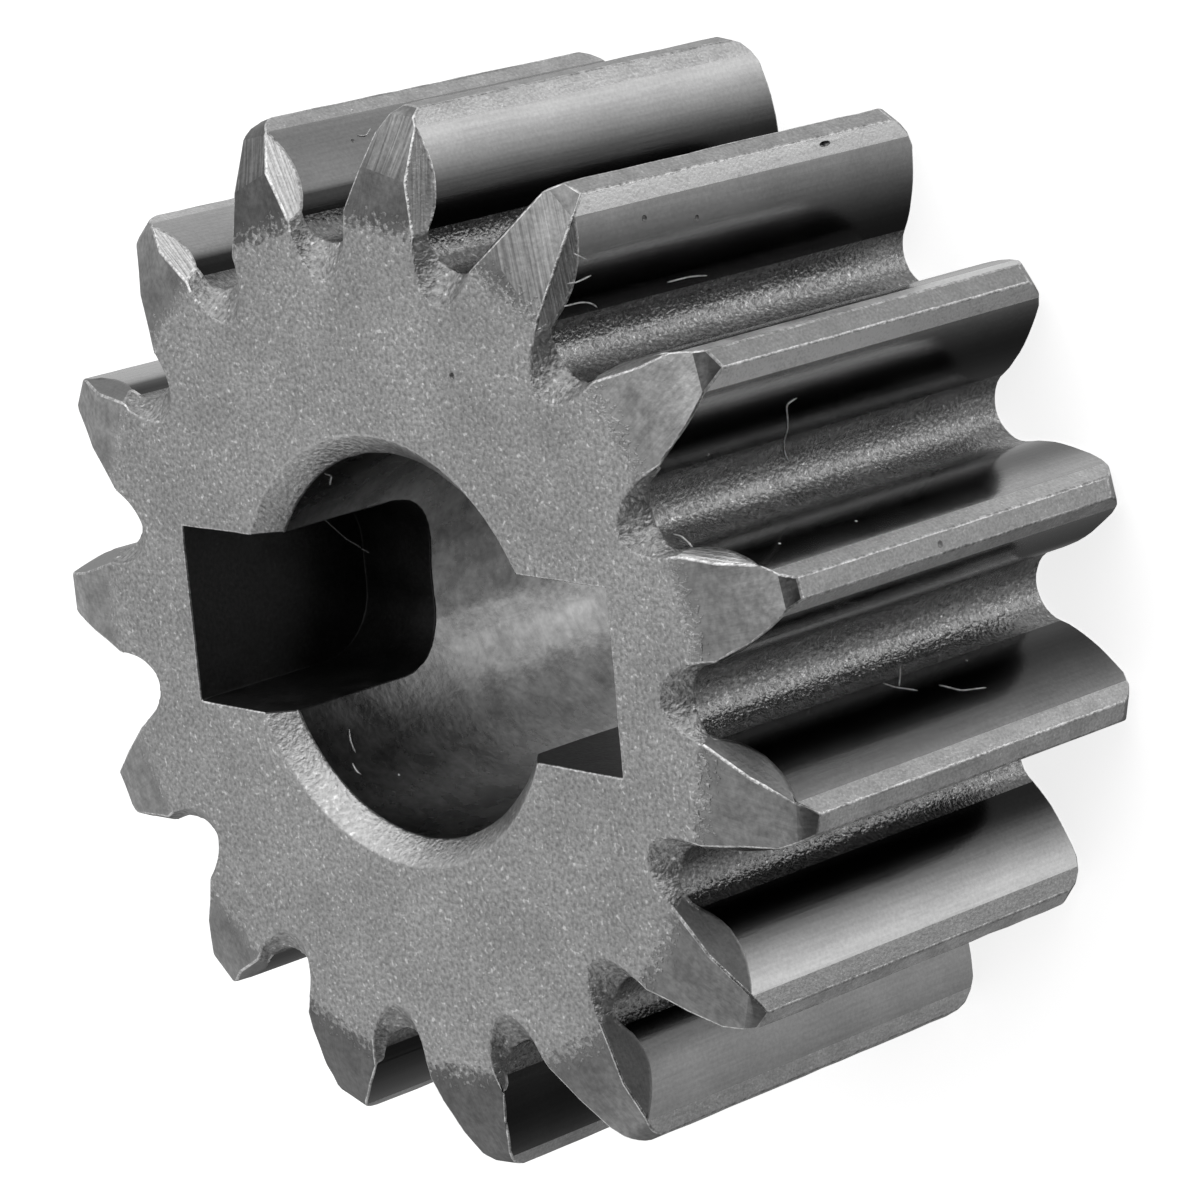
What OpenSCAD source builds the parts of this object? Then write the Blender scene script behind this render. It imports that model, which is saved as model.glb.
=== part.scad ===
// One-piece steel pinion gear with straight involute teeth and dressed tooth ends.
// Its bore has two blind drive slots, open at the front face.
// The back face lies on z = 0, the axis is +Z, the slots run along X and one tooth is centred on +X.

/* [Teeth] */
// Number of teeth
teeth = 15; // [14:1:20]
// Module, the pitch diameter divided by the number of teeth
tooth_module = 2; // [1.9:0.05:2.4]
// Pressure angle in degrees
pressure_angle = 20; // [18:0.5:22]
// Profile shift as a share of the module
profile_shift = 0.3; // [0.2:0.02:0.36]
// Thinning of each tooth on the pitch circle, for backlash
backlash = 0.2; // [0:0.05:0.3]
// Depth of the tooth gap below the shifted pitch circle, as a share of the module
dedendum = 1.2; // [1.1:0.02:1.26]
// Radial depth of the chamfer between each flank and its tip land
tip_chamfer = 0.5; // [0.3:0.05:0.6]
// Width of the tip land between its two chamfers
land_w = 0.7; // [0.4:0.05:0.8]

/* [Body] */
// Width of the gear along its axis
face_w = 16.5; // [13:0.5:24]
// Bore diameter
bore_d = 12.7; // [11.5:0.1:13]
// Diameter of the bore's chamfer on the front face
bore_mouth_d = 14.2; // [13.6:0.1:15]
// Depth of the bore's chamfer on the front face
bore_mouth_depth = 0.8; // [0.4:0.1:1.2]
// Size of the bore's chamfer on the back face
back_mouth = 0.5; // [0.2:0.1:0.8]

/* [Drive slots] */
// Width of the drive slots
slot_w = 6; // [5:0.1:6.4]
// Length of the two slots from end to end
slot_len = 20; // [18:0.1:20.6]
// Depth of the slots from the front face
slot_depth = 7.8; // [5:0.1:10]
// Radius along the lower corners of the slots
slot_corner = 2.2; // [0.5:0.1:2.4]

/* [Tooth ends] */
// How far the flat front face runs out past the gap floors
flat_margin = 0.5; // [0.3:0.1:0.9]
// Radial width of the bevelled zone at each tooth's tip
shoulder_w = 2.1; // [1.7:0.1:2.4]
// Drop of the gentle slope from the flat face to that zone
shoulder_drop = 0.3; // [0.1:0.05:0.5]
// Drop across that zone, down to the steep bevel at the tip
bevel_drop = 0.6; // [0.3:0.05:0.8]
// Size of the steep bevel at each tip's front end
tip_bevel = 0.6; // [0.3:0.05:0.8]
// Size of the bevel at each tip's back end
back_bevel = 0.6; // [0.3:0.05:0.9]
// Radial width of the bevel at the front of each tooth gap
gap_bevel = 1.1; // [0.5:0.05:1.2]
// Depth of the bevel at the front of each tooth gap
gap_bevel_depth = 0.6; // [0.3:0.05:0.8]
// Radius of that bevel's nose, as a share of the radius of the gap's floor
gap_bevel_nose = 1.15; // [1:0.05:1.2]
// Width of the facet dressed along each flank's front edge, where the flank is fullest
facet_w = 0.3; // [0.15:0.05:0.4]
// Steepness of that facet, in degrees below the face
facet_angle = 64; // [50:1:72]

/* [Hidden] */
$fn = 96;
// Cutters run past the surfaces that they open by this much
over = 1;

pitch_r = teeth * tooth_module / 2;
base_r = pitch_r * cos(pressure_angle);
tip_r = pitch_r + tooth_module * (1 + profile_shift);
root_r = pitch_r - tooth_module * (dedendum - profile_shift);
flat_r = root_r + flat_margin;
shoulder_r = tip_r - shoulder_w;
bevel_r = tip_r - tip_bevel;
bore_r = bore_d / 2;
pitch_angle = 360 / teeth;
degree = 180 / PI;

// Angle in degrees that an involute from the base circle has turned through at radius r
function roll_off(r) = r > base_r ? tan(acos(base_r / r)) * degree - acos(base_r / r) : 0;

// Half the tooth's angle at radius r
shift_gain = 2 * profile_shift * tan(pressure_angle);
pitch_thickness = tooth_module * (PI / 2 + shift_gain) - backlash;
pitch_half_angle = pitch_thickness / (2 * pitch_r) * degree;
function half_angle(r) = pitch_half_angle + roll_off(pitch_r) - roll_off(r);

// Point at radius r on the flank of a tooth centred on +X
function flank_point(r) = r * [cos(half_angle(r)), sin(half_angle(r))];

// Half the gap's angle at the base circle
gap_base_angle = pitch_angle / 2 - half_angle(base_r);

// The gap's floor is one full round that meets both flanks smoothly: its radius, found by closing in on it
function next_radius(guess) = base_r * (gap_base_angle + roll_off(root_r + guess)) / degree;
function round_radius(guess, steps) = steps == 0 ? guess : round_radius(next_radius(guess), steps - 1);
gap_round = round_radius(0.6 * tooth_module, 12);
gap_round_r = root_r + gap_round;

// Radius at which the round meets the flanks
flank_start = norm([base_r, sqrt(max(pow(gap_round_r, 2) - pow(base_r, 2), 0)) - gap_round]);

// Points along the flank of a tooth centred on +X: the involute, the tip chamfer and a run-out beyond the tip
flank_steps = 9;
chamfer_r = tip_r - tip_chamfer;
land_corner = [tip_r * cos(asin(land_w / 2 / tip_r)), land_w / 2];
run_out = land_corner + 2 * over * (land_corner - flank_point(chamfer_r));
flank_step = (chamfer_r - flank_start) / flank_steps;
involute_points = [for (i = [0:flank_steps]) flank_point(flank_start + i * flank_step)];
flank_line = concat(involute_points, [land_corner, run_out]);

// The same points seen from the middle of the gap beside the tooth
function turned(p, a) = [p.x * cos(a) - p.y * sin(a), p.x * sin(a) + p.y * cos(a)];
gap_side = [for (p = flank_line) turned(p, -pitch_angle / 2)];

// The facet's edge on the tooth's end runs from the end of the flat face to the steep bevel
facet_start = flank_point(flat_r);
facet_end = flank_point(bevel_r);
facet_run = facet_end - facet_start;
facet_fall = shoulder_drop + bevel_drop;

// How far the flank stands proud of that edge, where it is fullest
facet_normal = [-facet_run.y, facet_run.x] / norm(facet_run);
flank_bulge = (flank_point((flat_r + bevel_r) / 2) - facet_start) * facet_normal;

// Turned outline of the whole gear, beyond which the teeth are cut away
module envelope() {
    rotate_extrude()
        polygon([
            [0, 0],
            [tip_r - back_bevel, 0],
            [tip_r, back_bevel],
            [tip_r, face_w - facet_fall - tip_bevel],
            [bevel_r, face_w - facet_fall],
            [shoulder_r, face_w - shoulder_drop],
            [flat_r, face_w],
            [0, face_w]
        ]);
}

// Places its children in every tooth gap, facing outwards
module at_gaps() {
    for (i = [0:teeth - 1])
        rotate((i + 0.5) * pitch_angle)
            children();
}

// Places its children on every tooth, facing outwards
module at_teeth() {
    for (i = [0:teeth - 1])
        rotate(i * pitch_angle)
            children();
}

// Outline of one tooth gap
module gap_outline() {
    last = len(gap_side) - 1;
    other_side = [for (i = [last:-1:0]) [gap_side[i].x, -gap_side[i].y]];
    polygon(concat(gap_side, other_side, [[gap_round_r, 0]]));
    translate([gap_round_r, 0])
        circle(r = gap_round);
}

// All tooth gaps, cut right through
module gaps() {
    at_gaps()
        translate([0, 0, -over])
            linear_extrude(face_w + 2 * over)
                gap_outline();
}

// Round-nosed bevels across the front edge of each gap's floor
module gap_bevels() {
    lean = atan2(gap_bevel, gap_bevel_depth);
    nose_r = gap_bevel_nose * gap_round;
    reach = 4 * tooth_module;
    at_gaps()
        translate([root_r - gap_bevel, 0, face_w])
            rotate([0, 180 - lean, 0])
                translate([-nose_r, 0, -2 * over])
                    cylinder(h = reach, r = nose_r);
}

// Slanting cutter along one flank's front edge
module flank_facet() {
    length = norm([facet_run.x, facet_run.y, facet_fall]) + over;
    start = facet_start + (flank_bulge - facet_w) * facet_normal;
    translate([start.x, start.y, face_w])
        rotate([0, 0, atan2(facet_run.y, facet_run.x)])
            rotate([0, atan2(facet_fall, norm(facet_run)), 0])
                rotate([-facet_angle, 0, 0])
                    translate([0, -over, 0])
                        cube([length, 3 * over, over]);
}

// The dressed facets on both flanks of every tooth
module flank_facets() {
    at_teeth() {
        flank_facet();
        mirror([0, 1, 0])
            flank_facet();
    }
}

// The round bore with the chamfers at its mouths
module bore() {
    mouth_r = bore_mouth_d / 2;
    widening = (mouth_r - bore_r) / bore_mouth_depth;
    translate([0, 0, -over])
        cylinder(h = face_w + 2 * over, r = bore_r);
    translate([0, 0, face_w - bore_mouth_depth])
        cylinder(h = bore_mouth_depth + over, r1 = bore_r, r2 = mouth_r + over * widening);
    translate([0, 0, -over])
        cylinder(h = back_mouth + over, r1 = bore_r + back_mouth + over, r2 = bore_r);
}

// Cross-section of the drive slots, hanging from the front face, with rounded lower corners
module slot_section() {
    corner_x = slot_w / 2 - slot_corner;
    corner_y = slot_corner - slot_depth;
    translate([-slot_w / 2, corner_y])
        square([slot_w, over - corner_y]);
    translate([-corner_x, -slot_depth])
        square([2 * corner_x, 2 * slot_corner]);
    for (side = [-1, 1])
        translate([side * corner_x, corner_y])
            circle(r = slot_corner);
}

// Two blind drive slots, one on each side of the bore, open at the front
module drive_slots() {
    translate([-slot_len / 2, 0, face_w])
        rotate([90, 0, 90])
            linear_extrude(slot_len)
                slot_section();
}

module pinion_gear() {
    color("dimgray")
        difference() {
            envelope();
            gaps();
            gap_bevels();
            flank_facets();
            bore();
            drive_slots();
        }
}

pinion_gear();
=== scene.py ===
"""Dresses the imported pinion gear: hand-dressed tooth ends, worn edges and grained steel."""

import logging
import math
import random
from dataclasses import dataclass, field
from enum import IntEnum
from typing import ClassVar

import bmesh
import bpy
from mathutils import Matrix, Vector
from mathutils.bvhtree import BVHTree
from mathutils.kdtree import KDTree


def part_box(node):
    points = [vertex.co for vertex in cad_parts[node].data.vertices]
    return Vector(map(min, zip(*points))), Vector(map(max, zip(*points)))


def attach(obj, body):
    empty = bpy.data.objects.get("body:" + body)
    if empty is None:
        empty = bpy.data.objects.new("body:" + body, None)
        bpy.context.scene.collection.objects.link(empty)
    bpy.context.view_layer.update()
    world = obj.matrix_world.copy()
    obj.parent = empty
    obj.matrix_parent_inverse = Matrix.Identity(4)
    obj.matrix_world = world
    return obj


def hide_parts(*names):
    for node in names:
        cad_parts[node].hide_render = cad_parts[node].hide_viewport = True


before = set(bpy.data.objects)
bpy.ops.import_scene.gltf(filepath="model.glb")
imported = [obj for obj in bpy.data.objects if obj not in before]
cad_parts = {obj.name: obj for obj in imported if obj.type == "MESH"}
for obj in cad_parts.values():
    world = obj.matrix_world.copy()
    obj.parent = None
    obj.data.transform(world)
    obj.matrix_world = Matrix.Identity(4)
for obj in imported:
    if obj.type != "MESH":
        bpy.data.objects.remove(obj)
log = logging.getLogger("pinion")

MM = 0.001
NODE = "pinion_gear"
Z_AXIS = Vector((0.0, 0.0, 1.0))
# Ranges that hold most values of a noise, and of the tool marks' noise
NOISE_SPAN = (0.3, 0.7)
STREAK_SPAN = (0.32, 0.68)
# Range over which the few highest values of a noise come to glint
GLINT_SPAN = (0.64, 0.74)


class Skin(IntEnum):
    """The kinds of surface on the gear, in the order of its material slots."""

    FACE = 0
    TOOTH_END = 1
    GROUND_TIP = 2
    FLANK = 3
    LAND = 4
    CHAMFER = 5
    GAP_FLOOR = 6
    LIGHT_FACET = 7
    DARK_FACET = 8
    GAP_BEVEL = 9
    MOUTH = 10
    BORE = 11
    SLOT = 12
    WORN_EDGE = 13
    BACK = 14
    DENT = 15


class Side(IntEnum):
    """The two flanks of a tooth, by the sign of their direction round the axis."""

    MINUS = -1
    PLUS = 1


def share(value: float, low: float, high: float) -> float:
    """How far a value is on its way from low to high, between nothing and one."""
    return min(max((value - low) / (high - low), 0.0), 1.0)


def polar(radius: float, degrees: float, height: float = 0.0) -> Vector:
    """Point at a radius and an angle round the gear's axis."""
    angle = math.radians(degrees)
    return Vector((radius * math.cos(angle), radius * math.sin(angle), height))


@dataclass(frozen=True)
class Facet:
    """A slanting facet filed along the front edge of a flank. Lengths are in millimetres.

    Args:
        root: How far its upper line lies inside the flank at the tooth's root.
        tip: How far it lies inside the flank at the tooth's tip.
        steep: Its steepness below the face, in degrees.
        skin: How its surface looks.
        bright: Radius from which the flank behind it has its full painted light.
        full_painted_shade: Radius below which that flank has its full painted shade.
        shade: How light it is; above one, a painted highlight.
    """

    root: float = 0.05
    tip: float = 0.05
    steep: float = 64.0
    skin: Skin = Skin.DARK_FACET
    bright: float = 17.0
    full_painted_shade: float = 14.6
    shade: float = 1.0


@dataclass(frozen=True)
class TipCut:
    """A cut across the front end of a tooth.

    Args:
        reach: Radius at which it starts, in millimetres.
        steep: Its steepness below the face, in degrees.
        skew: How far it is turned towards the plus side, in degrees.
        skin: How its surface looks.
        shade: How light it is against the tooth's end: painted light above one, painted shade
            below.
    """

    reach: float
    steep: float
    skew: float = 0.0
    skin: Skin = Skin.TOOTH_END
    shade: float = 1.0


@dataclass(frozen=True)
class ToothDressing:
    """The hand work on one tooth's front end.

    Args:
        minus: Facet on the minus side.
        plus: Facet on the plus side.
        shoulder: The wide bevel over the outer half of the tooth's end.
        tip: The small steep bevel at the tip.
        shade: How light its end is beside the mean, as painted light and shade.
        crown: Radius to which its tip is rounded off in place of that bevel, or nothing.
        rise: How much painted light its end gains towards the tip.
        chamfer_painted_light: How light the chamfers beside its tip land are, as painted light and
            shade.
        land: How light its tip land is, as painted light and shade.
    """

    minus: Facet = Facet()
    plus: Facet = Facet()
    shoulder: TipCut = TipCut(15.5, 22.0)
    tip: TipCut = TipCut(17.0, 50.0)
    shade: float = 1.0
    crown: float = 0.0
    rise: float = 0.3
    chamfer_painted_light: float = 1.0
    land: float = 1.0


@dataclass(frozen=True)
class GapDressing:
    """The round-nosed bevel over one tooth gap, in millimetres.

    Args:
        reach: Its radial width on the face.
        depth: Its depth at the gap's floor.
        nose: Its radius as a share of the gap floor's.
    """

    reach: float = 1.1
    depth: float = 0.6
    nose: float = 1.15


@dataclass(frozen=True)
class Dent:
    """A small dent or pit, pressed in as a flattened ball. Lengths are in millimetres.

    Args:
        at: Its centre on the surface.
        facing: Direction that the dented surface faces.
        size: Its radius along the surface.
        depth: Its radius across the surface.
    """

    at: Vector
    facing: Vector
    size: float
    depth: float


class Carving:
    """Cutters of one kind, gathered in one mesh and then taken away from a body in one step."""

    def __init__(self, name: str) -> None:
        """Starts with no cutters.

        Args:
            name: Name of the cut, for messages.
        """
        self.name = name
        self.mesh = bmesh.new()

    def slab(self, at: Vector, normal: Vector, along: Vector, size: Vector, skin: Skin) -> None:
        """Adds a box whose floor lies in the plane through a point, with the waste above it.

        Args:
            at: Middle of the box's near edge, on the plane.
            normal: Direction out of the body.
            along: Direction in which the box runs, turned into the plane.
            size: Length along that direction, width across it and thickness.
            skin: Skin of the cut.
        """
        up = normal.normalized()
        ahead = (along - along.dot(up) * up).normalized()
        across = up.cross(ahead)
        place = Matrix((ahead, across, up)).transposed().to_4x4()
        place.translation = at + ahead * size.x / 2 + up * size.z / 2
        place = place @ Matrix.Diagonal(size).to_4x4()
        made = bmesh.ops.create_cube(self.mesh, size=1.0, matrix=place)
        self._paint(made["verts"], skin)

    def rod(
        self, start: Vector, end: Vector, radii: tuple[float, float], segments: int, skin: Skin
    ) -> None:
        """Adds a round cutter from one point to another.

        Args:
            start: Centre of its first end.
            end: Centre of its other end.
            radii: Its radius at the start and at the end.
            segments: Sides of the circle.
            skin: Skin of the cut.
        """
        axis = end - start
        place = axis.to_track_quat("Z", "Y").to_matrix().to_4x4()
        place.translation = (start + end) / 2
        made = bmesh.ops.create_cone(
            self.mesh,
            cap_ends=True,
            segments=segments,
            radius1=radii[0],
            radius2=radii[1],
            depth=axis.length,
            matrix=place,
        )
        self._paint(made["verts"], skin)

    def ball(self, dent: Dent, skin: Skin) -> None:
        """Adds a flattened ball.

        Args:
            dent: Its place and size.
            skin: Skin of the cut.
        """
        turn = dent.facing.to_track_quat("Z", "Y").to_matrix().to_4x4()
        flat = Matrix.Diagonal((dent.size, dent.size, dent.depth, 1.0))
        place = Matrix.Translation(dent.at) @ turn @ flat
        made = bmesh.ops.create_icosphere(self.mesh, subdivisions=2, radius=1.0, matrix=place)
        self._paint(made["verts"], skin)

    def _paint(self, verts: list[bmesh.types.BMVert], skin: Skin) -> None:
        """Gives the faces of a new cutter their skin."""
        for each in {f for v in verts for f in v.link_faces}:
            each.material_index = skin

    def cut(self, body: bpy.types.Object) -> None:
        """Takes the gathered cutters away from the body.

        Args:
            body: The object to cut, whose mesh is replaced.
        """
        bmesh.ops.recalc_face_normals(self.mesh, faces=self.mesh.faces)
        cutter = object_from(self.mesh, self.name, list(body.data.materials))
        boolean = body.modifiers.new(self.name, "BOOLEAN")
        boolean.operation = "DIFFERENCE"
        boolean.solver = "MANIFOLD"
        boolean.material_mode = "INDEX"
        boolean.object = cutter
        graph = bpy.context.evaluated_depsgraph_get()
        result = bpy.data.meshes.new_from_object(body.evaluated_get(graph), depsgraph=graph)
        body.modifiers.clear()
        body.data = in_fixed_order(result)
        bpy.data.objects.remove(cutter)
        log.info("%s: %d faces", self.name, len(result.polygons))


@dataclass
class Toothing:
    """The ring of involute teeth, and the hand work on its front ends. Lengths are in millimetres.

    Args:
        width: Width of the gear along its axis.
        dressings: Hand work on each tooth, from the one on +X.
        gap_dressings: Bevel over each gap, from the one after that tooth.
        count: Number of teeth.
        module: Pitch diameter over the number of teeth.
        pressure: Pressure angle in radians.
        shift: Profile shift as a share of the module.
        backlash: Thinning of each tooth on the pitch circle.
        dedendum: Depth of a gap below the shifted pitch circle, as a share of the module.
        tip_chamfer: Radial depth of the chamfers beside the tip land.
        land: Width of the tip land.
        flat_margin: How far the flat front face runs out past the gap floors.
        slope: Steepness of the slope beyond it, in degrees.
        back_round: Radius of the teeth's back ends.
        over: How far a cutter starts before its cut.
        flank_steps: Flat strips along each flank.
        floor_steps: Flat strips on each half of a gap's floor.
        crown_steps: Planes round each crowned tip.
        nose_sides: Sides of the cutter of a gap's bevel.
    """

    width: float
    dressings: tuple[ToothDressing, ...]
    gap_dressings: tuple[GapDressing, ...]
    count: int = 15
    module: float = 2.0
    pressure: float = math.radians(20.0)
    shift: float = 0.3
    backlash: float = 0.2
    dedendum: float = 1.2
    tip_chamfer: float = 0.5
    land: float = 0.7
    flat_margin: float = 0.5
    slope: float = 9.5
    back_round: float = 1.0
    over: float = 0.6
    flank_steps: int = 9
    floor_steps: int = 7
    crown_steps: int = 4
    nose_sides: int = 56

    def __post_init__(self) -> None:
        """Works out the circles that the teeth are drawn on."""
        self.pitch_r = self.count * self.module / 2
        self.base_r = self.pitch_r * math.cos(self.pressure)
        self.tip_r = self.pitch_r + self.module * (1 + self.shift)
        self.root_r = self.pitch_r - self.module * (self.dedendum - self.shift)
        self.flat_r = self.root_r + self.flat_margin
        self.step = 2 * math.pi / self.count
        gain = 2 * self.shift * math.tan(self.pressure)
        thickness = self.module * (math.pi / 2 + gain) - self.backlash
        self.pitch_half = thickness / (2 * self.pitch_r)
        gap_half = self.step / 2 - self.half_angle(self.base_r)
        first_guess, rounds = 0.6 * self.module, 12
        self.round_r = first_guess
        for _ in range(rounds):
            self.round_r = self.base_r * (gap_half + self.roll_off(self.root_r + self.round_r))
        self.round_at = self.root_r + self.round_r
        run = math.sqrt(self.round_at**2 - self.base_r**2) - self.round_r
        self.flank_start = math.hypot(self.base_r, run)

    def roll_off(self, radius: float) -> float:
        """Angle that an involute from the base circle has turned through at a radius.

        Args:
            radius: The radius.

        Returns:
            The angle in radians.
        """
        if radius <= self.base_r:
            return 0.0
        angle = math.acos(self.base_r / radius)
        return math.tan(angle) - angle

    def half_angle(self, radius: float) -> float:
        """Half the tooth's angle at a radius, in radians."""
        return self.pitch_half + self.roll_off(self.pitch_r) - self.roll_off(radius)

    def flank_point(self, radius: float, side: Side) -> Vector:
        """Point at a radius on one flank of a tooth that points along +X."""
        angle = side * self.half_angle(radius)
        return Vector((radius * math.cos(angle), radius * math.sin(angle), 0.0))

    def end_height(self, radius: float, shoulder: TipCut) -> float:
        """Height of a tooth's front end at a radius, on its slope or on its shoulder.

        Args:
            radius: The radius.
            shoulder: The tooth's shoulder.

        Returns:
            The height above the back face.
        """
        fall = math.tan(math.radians(self.slope))
        on_slope = self.width - fall * max(radius - self.flat_r, 0.0)
        start = self.width - fall * (shoulder.reach - self.flat_r)
        steeper = math.tan(math.radians(shoulder.steep))
        return min(on_slope, start - steeper * (radius - shoulder.reach))

    def blank(self, materials: list[bpy.types.Material]) -> bpy.types.Object:
        """Makes the solid toothed disc, with flat ends.

        Args:
            materials: Materials for the skins, in their order.

        Returns:
            The new object, in millimetres.
        """
        mesh = bmesh.new()
        middle = Vector((math.cos(-self.step / 2), math.sin(-self.step / 2), 0.0))
        centre = middle * self.round_at
        rise = (self.tip_r - self.tip_chamfer - self.flank_start) / self.flank_steps
        radii = [self.flank_start + rise * i for i in range(self.flank_steps + 1)]
        flank = [self.flank_point(r, Side.MINUS) for r in radii]
        start = mesh.verts.new(middle * self.root_r)
        turn = (start.co - centre).to_2d().angle_signed((flank[0] - centre).to_2d())
        bmesh.ops.spin(
            mesh, geom=[start], cent=centre, axis=Z_AXIS, angle=-turn, steps=self.floor_steps
        )
        corner = Vector((math.sqrt(self.tip_r**2 - (self.land / 2) ** 2), -self.land / 2, 0.0))
        line = [mesh.verts.new(p) for p in (*flank, corner, Vector((corner.x, 0.0, 0.0)))]
        for first, second in zip(line, line[1:]):
            mesh.edges.new((first, second))
        bmesh.ops.remove_doubles(mesh, verts=mesh.verts, dist=1e-3)
        bmesh.ops.mirror(mesh, geom=[*mesh.verts, *mesh.edges], axis="Y", merge_dist=1e-3)
        bmesh.ops.spin(
            mesh,
            geom=[*mesh.verts, *mesh.edges],
            axis=Z_AXIS,
            cent=(0, 0, 0),
            angle=self.step * (self.count - 1),
            steps=self.count - 1,
            use_duplicate=True,
        )
        bmesh.ops.remove_doubles(mesh, verts=mesh.verts, dist=1e-3)
        bmesh.ops.edgeloop_fill(mesh, edges=mesh.edges)
        raised = bmesh.ops.extrude_face_region(mesh, geom=mesh.faces[:], use_keep_orig=True)
        top = [v for v in raised["geom"] if isinstance(v, bmesh.types.BMVert)]
        bmesh.ops.translate(mesh, verts=top, vec=(0, 0, self.width))
        bmesh.ops.recalc_face_normals(mesh, faces=mesh.faces)
        for each in mesh.faces:
            each.material_index = self._wall_skin(each)
        return object_from(mesh, "blank", materials)

    def _wall_skin(self, wall: bmesh.types.BMFace) -> Skin:
        """Skin of one face of the blank, by where it lies.

        Args:
            wall: The face.

        Returns:
            Its skin.
        """
        if abs(wall.normal.z) > 0.5:
            return Skin.FACE if wall.normal.z > 0 else Skin.BACK
        radii = [v.co.to_2d().length for v in wall.verts]
        nearly_tip = self.tip_r - 0.1
        if min(radii) > nearly_tip:
            return Skin.LAND
        if max(radii) > nearly_tip:
            return Skin.CHAMFER
        return Skin.GAP_FLOOR if max(radii) < self.flank_start + 1e-3 else Skin.FLANK

    def dress(self, body: bpy.types.Object) -> None:
        """Cuts the slopes, bevels and facets into the tooth ends, each by its own hand work.

        Args:
            body: The blank.
        """
        slopes, shoulders, tips = (Carving(n) for n in ("slopes", "shoulders", "tips"))
        facets = {Side.MINUS: Carving("minus_facets"), Side.PLUS: Carving("plus_facets")}
        for number, dressing in enumerate(self.dressings):
            turn = Matrix.Rotation(self.step * number, 3, "Z")
            shoulder = dressing.shoulder
            self._end_cut(slopes, turn, TipCut(self.flat_r, self.slope), self.width)
            fall = math.tan(math.radians(self.slope))
            on_slope = self.width - fall * (shoulder.reach - self.flat_r)
            self._end_cut(shoulders, turn, shoulder, on_slope)
            if not dressing.crown:
                on_shoulder = self.end_height(dressing.tip.reach, shoulder)
                self._end_cut(tips, turn, dressing.tip, on_shoulder)
            for side, facet in ((Side.MINUS, dressing.minus), (Side.PLUS, dressing.plus)):
                self._facet_cut(facets[side], turn, side, facet, shoulder)
        for carving in (slopes, shoulders, tips, *self._crown_cuts(), *facets.values()):
            carving.cut(body)
        for steep in (22.5, 45.0, 67.5):
            self._back_cut(body, math.radians(steep))
        bevels = Carving("gap_bevels")
        for number, bevel in enumerate(self.gap_dressings):
            self._gap_cut(bevels, Matrix.Rotation(self.step * (number + 0.5), 3, "Z"), bevel)
        bevels.cut(body)

    def _end_cut(self, carving: Carving, turn: Matrix, cut: TipCut, height: float) -> None:
        """Adds the cutter of a cut across a tooth's front end.

        Args:
            carving: Cutters to add it to.
            turn: Turn from +X to the tooth.
            cut: The cut.
            height: Height of the tooth's end at the cut's reach.
        """
        steep = math.radians(cut.steep)
        skew = math.radians(cut.skew)
        outwards = math.sin(steep)
        normal = Vector((outwards * math.cos(skew), outwards * math.sin(skew), math.cos(steep)))
        ahead = (Vector((1.0, 0.0, 0.0)) - normal.x * normal).normalized()
        at = Vector((cut.reach, 0.0, height)) - self.over * ahead
        size = Vector((2.4, 2.4, 1.2)) * self.module
        carving.slab(turn @ at, turn @ normal, turn @ ahead, size, cut.skin)

    def _crown_cuts(self) -> list[Carving]:
        """Makes the cutters for the planes that round off the tips.

        Returns:
            One carving per plane, from the shoulder to the land.
        """
        made = []
        for number in range(1, self.crown_steps + 1):
            carving = Carving("crowns")
            part = number / (self.crown_steps + 1)
            for tooth, dressing in enumerate(self.dressings):
                if dressing.crown:
                    turn = Matrix.Rotation(self.step * tooth, 3, "Z")
                    self._crown_cut(carving, turn, dressing, part)
            made.append(carving)
        return made

    def _crown_cut(
        self, carving: Carving, turn: Matrix, dressing: ToothDressing, part: float
    ) -> None:
        """Adds the cutter of one plane of a tooth's crown.

        Args:
            carving: Cutters to add it to.
            turn: Turn from +X to the tooth.
            dressing: The tooth's hand work.
            part: How far round the crown the plane lies, from nothing to one.
        """
        shoulder, crown = dressing.shoulder, dressing.crown
        lean = math.radians(shoulder.steep)
        start = self.end_height(shoulder.reach, shoulder)
        run = self.tip_r - crown - shoulder.reach
        drop = (crown + run * math.sin(lean)) / math.cos(lean)
        centre = Vector((self.tip_r - crown, 0.0, start - drop))
        steep = lean + (math.pi / 2 - lean) * part
        normal = Vector((math.sin(steep), 0.0, math.cos(steep)))
        along = Vector((math.cos(steep), 0.0, -math.sin(steep)))
        size = Vector((2.0, 2.4, 1.0)) * self.module
        at = centre + crown * normal - along * size.x / 2
        carving.slab(turn @ at, turn @ normal, turn @ along, size, Skin.TOOTH_END)

    def _back_cut(self, body: bpy.types.Object, steep: float) -> None:
        """Cuts one of the planes that round the teeth's back ends.

        Args:
            body: The gear so far.
            steep: How far the plane faces down from straight outwards, in radians.
        """
        carving = Carving("back_ends")
        normal = Vector((math.cos(steep), 0.0, -math.sin(steep)))
        along = Vector((math.sin(steep), 0.0, math.cos(steep)))
        centre = Vector((self.tip_r - self.back_round, 0.0, self.back_round))
        size = Vector((2.0, 2.4, 1.0)) * self.module
        at = centre + self.back_round * normal - along * size.x / 2
        for number in range(self.count):
            turn = Matrix.Rotation(self.step * number, 3, "Z")
            carving.slab(turn @ at, turn @ normal, turn @ along, size, Skin.BACK)
        carving.cut(body)

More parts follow.
